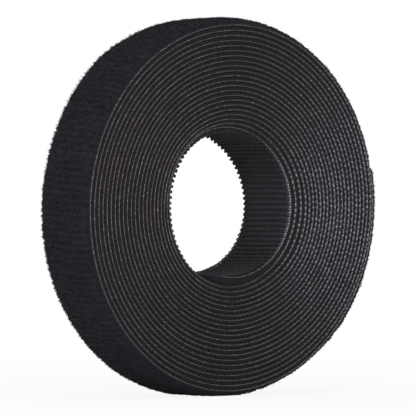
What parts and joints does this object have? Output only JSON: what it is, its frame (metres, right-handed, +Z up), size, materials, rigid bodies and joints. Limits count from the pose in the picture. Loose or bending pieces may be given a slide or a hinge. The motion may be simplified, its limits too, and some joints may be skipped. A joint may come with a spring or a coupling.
{
  "type": "hook and loop tape roll",
  "caption": "Coreless roll of black back-to-back hook and loop tape, loop pile outside and hooks inside, standing on its rim.",
  "frame": {"origin": "middle of the flat that the rim stands on", "axes": "+Z up, Y along the roll's axis with the front face towards -Y, +X to the right of that face"},
  "size_m": [0.106, 0.02, 0.1052],
  "materials": {
    "hook_strip": "moulded nylon hooks, black",
    "loop_strip": "napped knitted nylon pile, black"
  },
  "bodies": {
    "root": {"hook_strip": "hook_strip", "loop_strip": "loop_strip"}
  },
  "joints": []
}
